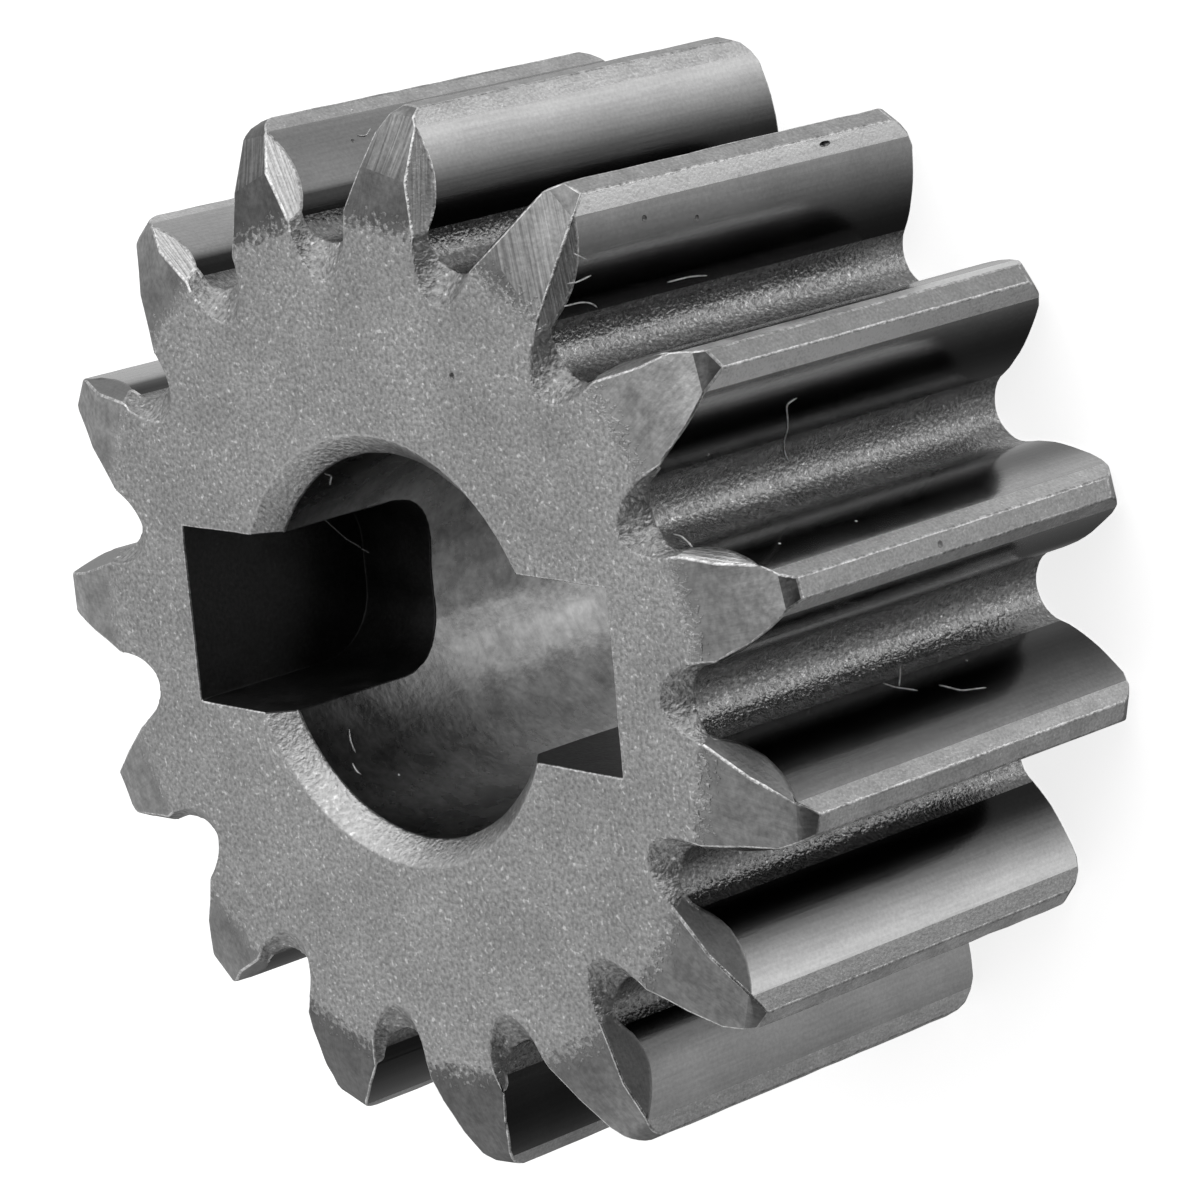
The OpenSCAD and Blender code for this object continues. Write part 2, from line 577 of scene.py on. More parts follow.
    def _facet_cut(
        self, carving: Carving, turn: Matrix, side: Side, facet: Facet, shoulder: TipCut
    ) -> None:
        """Adds the cutter of a facet along the front edge of one flank.

        Args:
            carving: Cutters to add it to.
            turn: Turn from +X to the tooth.
            side: The flank's side.
            facet: The facet.
            shoulder: The tooth's shoulder.
        """
        ends = []
        for radius, inset in ((self.flat_r, facet.root), (self.tip_r - self.over, facet.tip)):
            point = self.flank_point(radius, side)
            point.y -= side * inset
            point.z = self.end_height(radius, shoulder)
            ends.append(point)
        run = ends[1] - ends[0]
        sideways = Vector((-run.y, run.x, 0.0)).normalized() * side
        upwards = run.cross(sideways).normalized()
        upwards *= math.copysign(1.0, upwards.z)
        steep = math.radians(facet.steep)
        normal = math.sin(steep) * sideways + math.cos(steep) * upwards
        down = (upwards.dot(normal) * normal - upwards).normalized()
        size = Vector((run.length + 2 * self.over, 2.4, 0.8))
        at = ends[0] + self.over * down
        carving.slab(turn @ at, turn @ normal, turn @ run, size, facet.skin)

    def _gap_cut(self, carving: Carving, turn: Matrix, bevel: GapDressing) -> None:
        """Adds the cutter of the round-nosed bevel over one gap.

        Args:
            carving: Cutters to add it to.
            turn: Turn from +X to the gap.
            bevel: The bevel.
        """
        nose = bevel.nose * self.round_r
        ahead = Vector((bevel.reach, 0.0, -bevel.depth)).normalized()
        lift = Vector((-ahead.z, 0.0, ahead.x))
        mouth = Vector((self.root_r - bevel.reach, 0.0, self.width)) + lift * nose
        start, end = mouth - ahead * self.module, mouth + ahead * 3 * self.module
        carving.rod(turn @ start, turn @ end, (nose, nose), self.nose_sides, Skin.GAP_BEVEL)


@dataclass
class Hub:
    """The bore and the drive slots. Lengths are in millimetres.

    Args:
        width: Width of the gear along its axis.
        bore_r: Radius of the bore.
        mouth_r: Radius of the bore's front chamfer on the face.
        mouth_depth: Depth of that chamfer.
        back_mouth: Size of the bore's back chamfer.
        slot_w: Width of the slots.
        slot_len: Length of both slots from end to end.
        slot_depth: Depth of the slots.
        slot_corner: Radius of their lower corners.
        slot_shift: How far the slots stand out of the centre.
        over: How far cutters run past the surfaces that they open.
        around: Sides of the bore.
        corner_steps: Flat strips round each lower corner of the slots.
    """

    width: float
    bore_r: float = 6.35
    mouth_r: float = 7.1
    mouth_depth: float = 0.8
    back_mouth: float = 0.5
    slot_w: float = 6.0
    slot_len: float = 20.0
    slot_depth: float = 7.8
    slot_corner: float = 2.2
    slot_shift: Vector = field(default_factory=lambda: Vector((-0.28, -0.22, 0.0)))
    over: float = 1.0
    around: int = 120
    corner_steps: int = 8

    def cut(self, body: bpy.types.Object) -> None:
        """Cuts the bore, its chamfers and the slots.

        Args:
            body: The toothed blank.
        """
        top = self.width + self.over
        widening = (self.mouth_r - self.bore_r) / self.mouth_depth
        self._bore_cut(body, "bore", (-self.over, top), (self.bore_r, self.bore_r), Skin.BORE)
        heights = (self.width - self.mouth_depth - self.over, top)
        radii = (self.bore_r - self.over * widening, self.mouth_r + self.over * widening)
        self._bore_cut(body, "bore_mouth", heights, radii, Skin.MOUTH)
        heights = (-self.over, self.back_mouth + self.over)
        radii = (self.bore_r + self.back_mouth + self.over, self.bore_r - self.over)
        self._bore_cut(body, "back_mouth", heights, radii, Skin.MOUTH)
        self._slot_cut(body)

    def _bore_cut(
        self,
        body: bpy.types.Object,
        name: str,
        heights: tuple[float, float],
        radii: tuple[float, float],
        skin: Skin,
    ) -> None:
        """Cuts one round step of the bore.

        Args:
            body: The gear so far.
            name: Name of the step.
            heights: Heights of its lower and its upper end.
            radii: Radii at those ends.
            skin: Skin of the cut.
        """
        carving = Carving(name)
        carving.rod(Z_AXIS * heights[0], Z_AXIS * heights[1], radii, self.around, skin)
        carving.cut(body)

    def _slot_cut(self, body: bpy.types.Object) -> None:
        """Cuts the two drive slots as one long pocket with rounded lower corners.

        Args:
            body: The gear so far.
        """
        slots = Carving("slots")
        size = (self.slot_len, self.slot_w, self.slot_depth + self.over)
        bmesh.ops.create_cube(slots.mesh, size=1.0, matrix=Matrix.Diagonal(size).to_4x4())
        lower = [e for e in slots.mesh.edges if all(v.co.z < 0 for v in e.verts)]
        lengthwise = [e for e in lower if abs(e.verts[0].co.x - e.verts[1].co.x) > self.slot_w]
        bmesh.ops.bevel(
            slots.mesh,
            geom=lengthwise,
            offset=self.slot_corner,
            segments=self.corner_steps,
            profile=0.5,
            affect="EDGES",
            material=-1,
        )
        lift = self.width + (self.over - self.slot_depth) / 2
        way = self.slot_shift + Vector((0, 0, lift))
        bmesh.ops.translate(slots.mesh, verts=slots.mesh.verts, vec=way)
        for each in slots.mesh.faces:
            each.material_index = Skin.SLOT
        slots.cut(body)


def in_fixed_order(mesh: bpy.types.Mesh) -> bpy.types.Mesh:
    """Rebuilds a mesh with its corners and faces sorted, as a boolean's order changes each run.

    Args:
        mesh: The mesh as the boolean left it.

    Returns:
        A new mesh with the same shape, materials and skins.
    """
    places = [tuple(v.co) for v in mesh.vertices]
    order = sorted(range(len(places)), key=lambda number: places[number])
    rank = {number: new for new, number in enumerate(order)}
    faces = []
    for each in mesh.polygons:
        corners = [rank[number] for number in each.vertices]
        first = corners.index(min(corners))
        faces.append((corners[first:] + corners[:first], each.material_index))
    faces.sort()
    made = bpy.data.meshes.new(mesh.name)
    made.from_pydata([places[number] for number in order], [], [corners for corners, _ in faces])
    for material in mesh.materials:
        made.materials.append(material)
    made.polygons.foreach_set("material_index", [skin for _, skin in faces])
    made.update()
    return made


def object_from(
    mesh: bmesh.types.BMesh, name: str, materials: list[bpy.types.Material]
) -> bpy.types.Object:
    """Makes an object of a bmesh, which is freed.

    Args:
        mesh: Its shape.
        name: Its name.
        materials: Its material slots.

    Returns:
        The new object, linked to the scene.
    """
    data = bpy.data.meshes.new(name)
    mesh.to_mesh(data)
    mesh.free()
    for material in materials:
        data.materials.append(material)
    made = bpy.data.objects.new(name, data)
    bpy.context.scene.collection.objects.link(made)
    return made


@dataclass(frozen=True)
class SteelFinish:
    """A procedural steel surface. Lengths are in millimetres.

    Args:
        name: Its name.
        tone: Its grey level.
        roughness: How matt it is.
        grain: Size of its grain.
        relief: Height of its grain.
        speckle: How much the grain changes the tone.
        glint: How much brighter the scattered glints are.
        cloud: How much soft clouds change the tone.
        cloud_size: Size of the clouds.
        streak: How much tool marks change the tone.
        streak_width: Width of the tool marks.
        streak_relief: Depth of the tool marks.
        inner: Finish of the hub's face, where its grain runs out over this surface.
        inner_reach: Radius to which it does.
        tatter: Size of the tatters of that border.
        swing: How far they reach inwards and outwards.
    """

    name: str
    tone: float
    roughness: float
    grain: float = 0.12
    relief: float = 0.01
    speckle: float = 0.2
    glint: float = 0.0
    cloud: float = 0.12
    cloud_size: float = 2.0
    streak: float = 0.0
    streak_width: float = 0.1
    streak_relief: float = 0.0
    inner: "SteelFinish | None" = None
    inner_reach: float = 13.95
    tatter: float = 0.2
    swing: float = 0.55

    def material(self) -> bpy.types.Material:
        """Makes the finish's material.

        Returns:
            A node material that reads Object coordinates, and the stroke map for tool marks.
        """
        made = bpy.data.materials.new(self.name)
        made.use_nodes = True
        nodes, links = made.node_tree.nodes, made.node_tree.links
        shader = nodes["Principled BSDF"]
        shader.inputs["Metallic"].default_value = 1.0
        place = nodes.new("ShaderNodeTexCoord").outputs["Object"]
        grain = self._noise(made, place, 1.0 / (self.grain * MM), 2.0)
        cloud = self._noise(made, place, 1.0 / (self.cloud_size * MM), 4.0)
        tone = self._tone(made, place, grain, cloud)
        relief = nodes.new("ShaderNodeBump")
        relief.inputs["Distance"].default_value = self.relief * MM
        normal = relief.outputs["Normal"]
        if self.streak:
            streak = self._streaks(made)
            marked = self._spread(made, streak, STREAK_SPAN, (1 - self.streak, 1 + self.streak))
            tone = self._times(made, tone, marked)
            marks = nodes.new("ShaderNodeBump")
            marks.inputs["Distance"].default_value = self.streak_relief * MM
            links.new(streak, marks.inputs["Height"])
            links.new(normal, marks.inputs["Normal"])
            normal = marks.outputs["Normal"]
        # The shade attribute paints light and shade into the tone, surface by surface
        shade = nodes.new("ShaderNodeAttribute")
        shade.attribute_name = "shade"
        tone = self._times(made, tone, shade.outputs["Fac"])
        if self.inner:
            near = self._near_hub(made, place)
            coarse = self._noise(made, place, 1.0 / (self.inner.grain * MM), 2.0)
            tone = self._blend(made, near, tone, self.inner._tone(made, place, coarse, cloud))
            low = self._spread(made, near, (0.0, 1.0), (self.relief / self.inner.relief, 1.0))
            relief.inputs["Distance"].default_value = self.inner.relief * MM
            grain = self._times(made, coarse, low)
        links.new(grain, relief.inputs["Height"])
        links.new(tone, shader.inputs["Base Color"])
        matt = (self.roughness * 0.88, self.roughness * 1.12)
        rough = self._spread(made, cloud, NOISE_SPAN, matt)
        links.new(rough, shader.inputs["Roughness"])
        links.new(normal, shader.inputs["Normal"])
        return made

    def _tone(
        self,
        made: bpy.types.Material,
        place: bpy.types.NodeSocket,
        grain: bpy.types.NodeSocket,
        cloud: bpy.types.NodeSocket,
    ) -> bpy.types.NodeSocket:
        """Adds the grey level, with its clouds, its grain and its glints.

        Args:
            made: The material.
            place: Place on the gear.
            grain: Value of the grain's noise.
            cloud: Value of the clouds' noise.

        Returns:
            The grey level.
        """
        clouded = (self.tone * (1 - self.cloud), self.tone * (1 + self.cloud))
        tone = self._spread(made, cloud, NOISE_SPAN, clouded)
        grained = self._spread(made, grain, NOISE_SPAN, (1 - self.speckle, 1 + self.speckle))
        tone = self._times(made, tone, grained)
        if self.glint:
            spark = self._noise(made, place, 0.8 / (self.grain * MM), 1.0)
            glinting = self._spread(made, spark, GLINT_SPAN, (1.0, 1 + self.glint))
            tone = self._times(made, tone, glinting)
        return tone

    def _streaks(self, made: bpy.types.Material) -> bpy.types.NodeSocket:
        """Adds a noise drawn out along the tool marks.

        Args:
            made: The material.

        Returns:
            The noise's value.
        """
        nodes = made.node_tree.nodes
        lengthwise = 0.04
        strokes = nodes.new("ShaderNodeUVMap")
        strokes.uv_map = "strokes"
        drawn = nodes.new("ShaderNodeMapping")
        drawn.inputs["Scale"].default_value = (lengthwise, 1.0, 1.0)
        made.node_tree.links.new(strokes.outputs["UV"], drawn.inputs["Vector"])
        return self._noise(made, drawn.outputs["Vector"], 1.0 / self.streak_width, 3.0)

    def _near_hub(
        self, made: bpy.types.Material, place: bpy.types.NodeSocket
    ) -> bpy.types.NodeSocket:
        """Adds a mask that is one inside the hub grain's ragged border and nothing beyond it.

        Args:
            made: The material.
            place: Place on the gear.

        Returns:
            The mask's value.
        """
        nodes, links = made.node_tree.nodes, made.node_tree.links
        flat = nodes.new("ShaderNodeVectorMath")
        flat.operation = "MULTIPLY"
        flat.inputs[1].default_value = (1.0, 1.0, 0.0)
        links.new(place, flat.inputs[0])
        radius = nodes.new("ShaderNodeVectorMath")
        radius.operation = "LENGTH"
        links.new(flat.outputs["Vector"], radius.inputs[0])
        border = self._noise(made, place, 1.0 / (self.tatter * MM), 3.0)
        swing = self._spread(made, border, NOISE_SPAN, (-self.swing * MM, self.swing * MM))
        edge = nodes.new("ShaderNodeMath")
        edge.operation = "ADD"
        links.new(radius.outputs["Value"], edge.inputs[0])
        links.new(swing, edge.inputs[1])
        reach = self.inner_reach * MM
        fade = (reach - 0.2 * MM, reach + 0.3 * MM)
        return self._spread(made, edge.outputs["Value"], fade, (1.0, 0.0))

    def _blend(
        self,
        made: bpy.types.Material,
        share: bpy.types.NodeSocket,
        first: bpy.types.NodeSocket,
        second: bpy.types.NodeSocket,
    ) -> bpy.types.NodeSocket:
        """Goes from one value to another as the share goes from nothing to one.

        Args:
            made: The material.
            share: The share of the second value.
            first: The first value.
            second: The second value.

        Returns:
            The blended value.
        """
        blend = made.node_tree.nodes.new("ShaderNodeMapRange")
        for source, target in ((share, "Value"), (first, "To Min"), (second, "To Max")):
            made.node_tree.links.new(source, blend.inputs[target])
        return blend.outputs["Result"]

    def _noise(
        self, made: bpy.types.Material, place: bpy.types.NodeSocket, scale: float, detail: float
    ) -> bpy.types.NodeSocket:
        """Adds a noise.

        Args:
            made: The material.
            place: Place that it is read at.
            scale: Its scale.
            detail: Its detail.

        Returns:
            The noise's value.
        """
        noise = made.node_tree.nodes.new("ShaderNodeTexNoise")
        noise.inputs["Scale"].default_value = scale
        noise.inputs["Detail"].default_value = detail
        made.node_tree.links.new(place, noise.inputs["Vector"])
        return noise.outputs["Fac"]

    def _spread(
        self,
        made: bpy.types.Material,
        value: bpy.types.NodeSocket,
        taken: tuple[float, float],
        given: tuple[float, float],
    ) -> bpy.types.NodeSocket:
        """Maps one range of a value to another.

        Args:
            made: The material.
            value: The value.
            taken: The range that it has.
            given: The range that it gets.

        Returns:
            The mapped value.
        """
        spread = made.node_tree.nodes.new("ShaderNodeMapRange")
        spread.inputs["From Min"].default_value = taken[0]
        spread.inputs["From Max"].default_value = taken[1]
        spread.inputs["To Min"].default_value = given[0]
        spread.inputs["To Max"].default_value = given[1]
        made.node_tree.links.new(value, spread.inputs["Value"])
        return spread.outputs["Result"]

    def _times(
        self, made: bpy.types.Material, first: bpy.types.NodeSocket, second: bpy.types.NodeSocket
    ) -> bpy.types.NodeSocket:
        """Multiplies two values.

        Args:
            made: The material.
            first: The first value.
            second: The second value.

        Returns:
            Their product.
        """
        times = made.node_tree.nodes.new("ShaderNodeMath")
        times.operation = "MULTIPLY"
        made.node_tree.links.new(first, times.inputs[0])
        made.node_tree.links.new(second, times.inputs[1])
        return times.outputs["Value"]


SINTERED = SteelFinish(
    "sintered_face", tone=0.52, roughness=0.5, grain=0.14, relief=0.075, speckle=0.3, glint=0.7,
    cloud=0.13, cloud_size=2.6,
)


@dataclass
class PinionGear:
    """The whole gear: toothing, hub, dents and worn edges. Lengths are in millimetres.

    Args:
        toothing: Its teeth.
        hub: Its bore and slots.
        dents: Its dents and pits.
        strokes: Skew of the tool marks on single teeth, in degrees, by the tooth's number.
        wear: Radius of the worn edges.
        ragged: How far their points stray.
        seed: Seed of the points' random ways.
        knots: Distance between the points along a sharp edge.
        sharp: Least and greatest angle between the surfaces beside a sharp edge, in degrees.
        painted_light_rise: Radii between which the painted light on a tooth's end rises.
        painted_floor_shade: Radii between which painted shade darkens a gap's floor towards the
            flanks.
        painted_bore_shade: Heights between which painted shade darkens the bore towards the front
            face.
        full_painted_shade: How light a flank is where its painted shade is full.
    """

    SKINS: ClassVar[dict[Skin, SteelFinish]] = {
        Skin.FACE: SINTERED,
        Skin.TOOTH_END: SteelFinish(
            "tooth_end", tone=0.36, roughness=0.42, grain=0.2, relief=0.012, speckle=0.14,
            cloud=0.24, cloud_size=0.8, streak=0.08, streak_width=0.08, streak_relief=0.003,
            inner=SINTERED,
        ),
        Skin.GROUND_TIP: SteelFinish(
            "ground_tip", tone=0.46, roughness=0.4, grain=0.15, speckle=0.14, cloud=0.16,
            cloud_size=0.8, streak=0.38, streak_width=0.11, streak_relief=0.02, inner=SINTERED,
        ),
        Skin.FLANK: SteelFinish(
            "flank", tone=0.5, roughness=0.17, relief=0.0015, speckle=0.08, cloud=0.08, streak=0.06,
            streak_width=0.12, streak_relief=0.002,
        ),
        Skin.LAND: SteelFinish(
            "tip_land", tone=0.62, roughness=0.66, grain=0.1, relief=0.012, speckle=0.15, glint=0.2,
            cloud_size=1.0, streak=0.05, streak_relief=0.002,
        ),
        Skin.CHAMFER: SteelFinish(
            "tip_chamfer", tone=0.72, roughness=0.38, grain=0.1, relief=0.012, speckle=0.15,
            glint=0.3, cloud_size=1.0, streak=0.05, streak_relief=0.002,
        ),
        Skin.GAP_FLOOR: SteelFinish(
            "gap_floor", tone=0.33, roughness=0.26, grain=0.13, relief=0.04, speckle=0.35,
            glint=0.8, cloud=0.1, cloud_size=1.5,
        ),
        Skin.LIGHT_FACET: SteelFinish(
            "light_facet", tone=0.68, roughness=0.38, grain=0.1, speckle=0.12, glint=0.2, cloud=0.1,
            cloud_size=0.8, streak=0.28, streak_width=0.07, streak_relief=0.015,
        ),
        Skin.DARK_FACET: SteelFinish(
            "dark_facet", tone=0.3, roughness=0.36, relief=0.006, speckle=0.1, glint=0.1,
            cloud_size=0.8, streak=0.06, streak_width=0.08, streak_relief=0.003,
        ),
        Skin.GAP_BEVEL: SteelFinish(
            "rough_bevel", tone=0.43, roughness=0.5, grain=0.16, relief=0.08, speckle=0.35,
            glint=0.8, cloud=0.15, cloud_size=0.8,
        ),
        Skin.MOUTH: SteelFinish(
            "bore_mouth", tone=0.58, roughness=0.42, grain=0.15, relief=0.04, speckle=0.24,
            glint=0.5, cloud=0.08, cloud_size=1.5,
        ),
        Skin.BORE: SteelFinish(
            "bore_wall", tone=0.36, roughness=0.28, grain=0.25, speckle=0.1, glint=0.1, cloud=0.3,
            cloud_size=1.0, streak=0.07, streak_width=0.25, streak_relief=0.001,
        ),
        # A near-black tone: painted shade in the deep slots
        Skin.SLOT: SteelFinish(
            "slot_wall_painted_shade", tone=0.09, roughness=0.5, grain=0.15, speckle=0.15, glint=0.2,
            cloud_size=1.0,
        ),
        Skin.WORN_EDGE: SteelFinish(
            "worn_edge", tone=0.72, roughness=0.36, grain=0.14, relief=0.03, speckle=0.4, glint=0.4,
            cloud=0.3, cloud_size=0.5,
        ),
        Skin.BACK: SteelFinish(
            "back_face", tone=0.5, roughness=0.48, grain=0.13, relief=0.02, speckle=0.15, glint=0.3,
            cloud=0.1,
        ),
        Skin.DENT: SteelFinish(
            "dent", tone=0.3, roughness=0.45, grain=0.1, relief=0.02, speckle=0.3, glint=0.8,
            cloud=0.1, cloud_size=0.4,
        ),
    }
    toothing: Toothing
    hub: Hub
    dents: tuple[Dent, ...] = ()
    strokes: dict[int, float] = field(default_factory=dict)
    wear: float = 0.06
    ragged: float = 0.03
    seed: int = 15
    knots: float = 0.9
    sharp: tuple[float, float] = (16.0, 150.0)
    painted_light_rise: tuple[float, float] = (15.3, 16.8)
    painted_floor_shade: tuple[float, float] = (13.7, 14.2)
    painted_bore_shade: tuple[float, float] = (7.0, 13.0)
    full_painted_shade: float = 0.07

    def build(self) -> bpy.types.Object:
        """Builds the gear in place of its plain solid.

        Returns:
            The finished object, in metres.
        """
        materials = [self.SKINS[s].material() for s in Skin]
        body = self.toothing.blank(materials)
        self.toothing.dress(body)
        self.hub.cut(body)
        pits = Carving("dents")
        for dent in self.dents:
            pits.ball(dent, Skin.DENT)
        pits.cut(body)
        self._wear_edges(body)
        body.name = "dressed_gear"
        body.data.name = "dressed_gear"
        body.data.transform(Matrix.Scale(MM, 4))
        weighted = body.modifiers.new("weighted", "WEIGHTED_NORMAL")
        weighted.keep_sharp = True
        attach(body, "root")
        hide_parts(NODE)
        return body

    def _wear_edges(self, body: bpy.types.Object) -> None:
        """Rounds the sharp edges a little, as handling has done, and lays out the tool marks.

        Args:
            body: The gear, in millimetres.
        """
        mesh = bmesh.new()
        mesh.from_mesh(body.data)
        bmesh.ops.triangulate(mesh, faces=mesh.faces)
        speck, sliver, level = 0.03, 0.01, math.radians(0.6)
        bmesh.ops.remove_doubles(mesh, verts=mesh.verts, dist=speck)
        bmesh.ops.dissolve_degenerate(mesh, edges=mesh.edges, dist=sliver)
        bmesh.ops.dissolve_limit(
            mesh,
            angle_limit=level,
            verts=mesh.verts,
            edges=mesh.edges,
            delimit={"MATERIAL"},
        )
        for edge in self._sharp_edges(mesh):
            cuts = round(edge.calc_length() / self.knots) - 1
            if cuts > 0:
                bmesh.ops.bisect_edges(mesh, edges=[edge], cuts=cuts)
        self._make_ragged(mesh)
        surface = BVHTree.FromBMesh(mesh)
        near, rims = self._rims(mesh)
        worn = bmesh.ops.bevel(
            mesh,
            geom=self._sharp_edges(mesh),
            offset=self.wear,
            segments=2,
            profile=0.5,
            affect="EDGES",
            material=-1,
            clamp_overlap=False,
        )
        astray = 0.6 * self.wear
        for each in worn["verts"]:
            nearest, _, _, distance = surface.find_nearest(each.co)
            if distance > astray:
                each.co = nearest
            each.co.z = min(max(each.co.z, 0.0), self.toothing.width)
        for each in worn["faces"]:
            each.material_index = rims[near.find(each.calc_center_median())[1]]
        bmesh.ops.remove_doubles(mesh, verts=mesh.verts, dist=1e-4)
        for each in mesh.faces:
            each.smooth = True
        self._lay_strokes(mesh)
        mesh.to_mesh(body.data)
        log.info("worn edges: %d faces in all", len(mesh.faces))
        mesh.free()

    def _rims(self, mesh: bmesh.types.BMesh) -> tuple[KDTree, list[Skin]]:
        """Sets out points along all sharp edges, and the skin that each gets once it is worn.

        Args:
            mesh: The gear.

        Returns:
            A tree of the points, and their skins.
        """
        spacing = 0.12
        points, skins = [], []
        for edge in self._sharp_edges(mesh):
            skin = self._rim_skin({Skin(f.material_index) for f in edge.link_faces})
            steps = round(edge.calc_length() / spacing) + 1
            for number in range(steps + 1):
                points.append(edge.verts[0].co.lerp(edge.verts[1].co, number / steps))
                skins.append(skin)
        tree = KDTree(len(points))
        for number, point in enumerate(points):
            tree.insert(point, number)
        tree.balance()
        return tree, skins

    def _rim_skin(self, beside: set[Skin]) -> Skin:
        """Skin of the worn edge between two surfaces.

        Args:
            beside: Skins of the surfaces.

        Returns:
            The edge's skin.
        """
        if Skin.MOUTH in beside and Skin.SLOT not in beside:
            return Skin.MOUTH
        if beside <= {Skin.FACE, Skin.GAP_BEVEL}:
            return Skin.FACE
        if beside <= {Skin.GAP_BEVEL, Skin.GAP_FLOOR, Skin.DARK_FACET}:
            return Skin.GAP_BEVEL
        if Skin.SLOT in beside and Skin.FACE not in beside:
            return Skin.SLOT
        if beside == {Skin.CHAMFER, Skin.FLANK}:
            return Skin.CHAMFER
        if beside == {Skin.DARK_FACET, Skin.FLANK}:
            return Skin.DARK_FACET
        return Skin.WORN_EDGE

    def _sharp_edges(self, mesh: bmesh.types.BMesh) -> list[bmesh.types.BMEdge]:
        """Edges at which surfaces meet at an angle, apart from dents and cuts across tooth ends.

        Args:
            mesh: The gear.

        Returns:
            The edges, in the mesh's order.
        """
        soft = {Skin.FACE, Skin.TOOTH_END, Skin.GROUND_TIP}
        least, greatest = (math.radians(angle) for angle in self.sharp)
        found = []
        for edge in mesh.edges:
            beside = {f.material_index for f in edge.link_faces}
            if edge.is_manifold and Skin.DENT not in beside and not beside <= soft:
                if least < edge.calc_face_angle(0.0) < greatest:
                    found.append(edge)
        return found

    def _make_ragged(self, mesh: bmesh.types.BMesh) -> None:
        """Moves the points of the sharp edges inwards by a hair, each by its own amount.

        Args:
            mesh: The gear.
        """
        draw = random.Random(self.seed)
        mesh.verts.index_update()
        points = {v for e in self._sharp_edges(mesh) for v in e.verts}
        for point in sorted(points, key=lambda v: v.index):
            inwards = -point.normal * draw.uniform(0.0, self.ragged)
            if abs(point.co.z - self.toothing.width) < 1e-3 or abs(point.co.z) < 1e-3:
                inwards.z = 0.0
            point.co += inwards

    def _lay_strokes(self, mesh: bmesh.types.BMesh) -> None:
        """Writes the stroke map, whose U runs along the tool marks and whose V runs across them.

        The painted light and shade of each surface is written beside it.

        Args:
            mesh: The gear.
        """
        layer = mesh.loops.layers.uv.new("strokes")
        shade = mesh.loops.layers.float.new("shade")
        for each in mesh.faces:
            along = self._stroke(each)
            across = each.normal.cross(along)
            for loop in each.loops:
                loop[layer].uv = (loop.vert.co.dot(along), loop.vert.co.dot(across))
                loop[shade] = self._shade(each, loop.vert.co)

    def _shade(self, surface: bmesh.types.BMFace, at: Vector) -> float:
        """Painted light and shade of a surface at a point: flanks get painted light near their tips
        and painted shade below.

        Args:
            surface: The surface.
            at: The point.

        Returns:
            Its lightness, against its finish's.
        """
        radius = at.to_2d().length
        number = self._tooth(surface)
        dressing = self.toothing.dressings[number]
        # Tooth ends: painted light and shade per tooth, with a factor of its own on a steep tip
        # bevel and painted light rising towards the tip elsewhere
        if surface.material_index in (Skin.TOOTH_END, Skin.GROUND_TIP):
            steep = surface.normal.z < 0.8
            if steep and not dressing.crown:
                return dressing.shade * dressing.tip.shade
            return dressing.shade * (1.0 + dressing.rise * share(radius, *self.painted_light_rise))
        # Chamfers and lands: painted light and shade per tooth
        if surface.material_index == Skin.CHAMFER:
            return dressing.chamfer_painted_light
        if surface.material_index == Skin.LAND:
            return dressing.land
        # Gap floors: painted shade towards the flanks
        if surface.material_index == Skin.GAP_FLOOR:
            return 1.0 - 0.4 * share(radius, *self.painted_floor_shade)
        # Bore: painted shade, darker towards the front face
        if surface.material_index == Skin.BORE:
            return 1.0 - 0.6 * share(at.z, *self.painted_bore_shade)
        ahead = polar(1.0, math.degrees(self.toothing.step) * number)
        facet = dressing.plus if ahead.cross(surface.calc_center_median()).z > 0 else dressing.minus
        # Facets: a painted factor per facet, painted light where above one
        if surface.material_index in (Skin.LIGHT_FACET, Skin.DARK_FACET):
            return facet.shade
        if surface.material_index != Skin.FLANK:
            return 1.0
        # Flanks: painted light near the tip, fading into painted shade towards the root
        flank_painted_light = share(radius, facet.full_painted_shade, facet.bright)
        return self.full_painted_shade + (1.0 - self.full_painted_shade) * flank_painted_light**2

    def _tooth(self, surface: bmesh.types.BMFace) -> int:
        """Number of the tooth that a surface is nearest to."""
        middle = surface.calc_center_median()
        return round(math.atan2(middle.y, middle.x) / self.toothing.step) % self.toothing.count

    def _stroke(self, surface: bmesh.types.BMFace) -> Vector:
        """Direction of the tool marks on one surface.

        Args:
            surface: The surface.

        Returns:
            The direction, in the surface's plane.
        """
        middle = surface.calc_center_median()
        normal = surface.normal
        outwards = Vector((middle.x, middle.y, 0.0)).normalized()
        if surface.material_index in (Skin.BORE, Skin.MOUTH):
            along = Z_AXIS.cross(outwards)
        elif abs(normal.z) < 0.3:
            along = Z_AXIS
        else:
            skew = math.radians(self.strokes.get(self._tooth(surface), 0.0))
            along = Matrix.Rotation(skew, 3, "Z") @ outwards
        return (along - along.dot(normal) * normal).normalized()


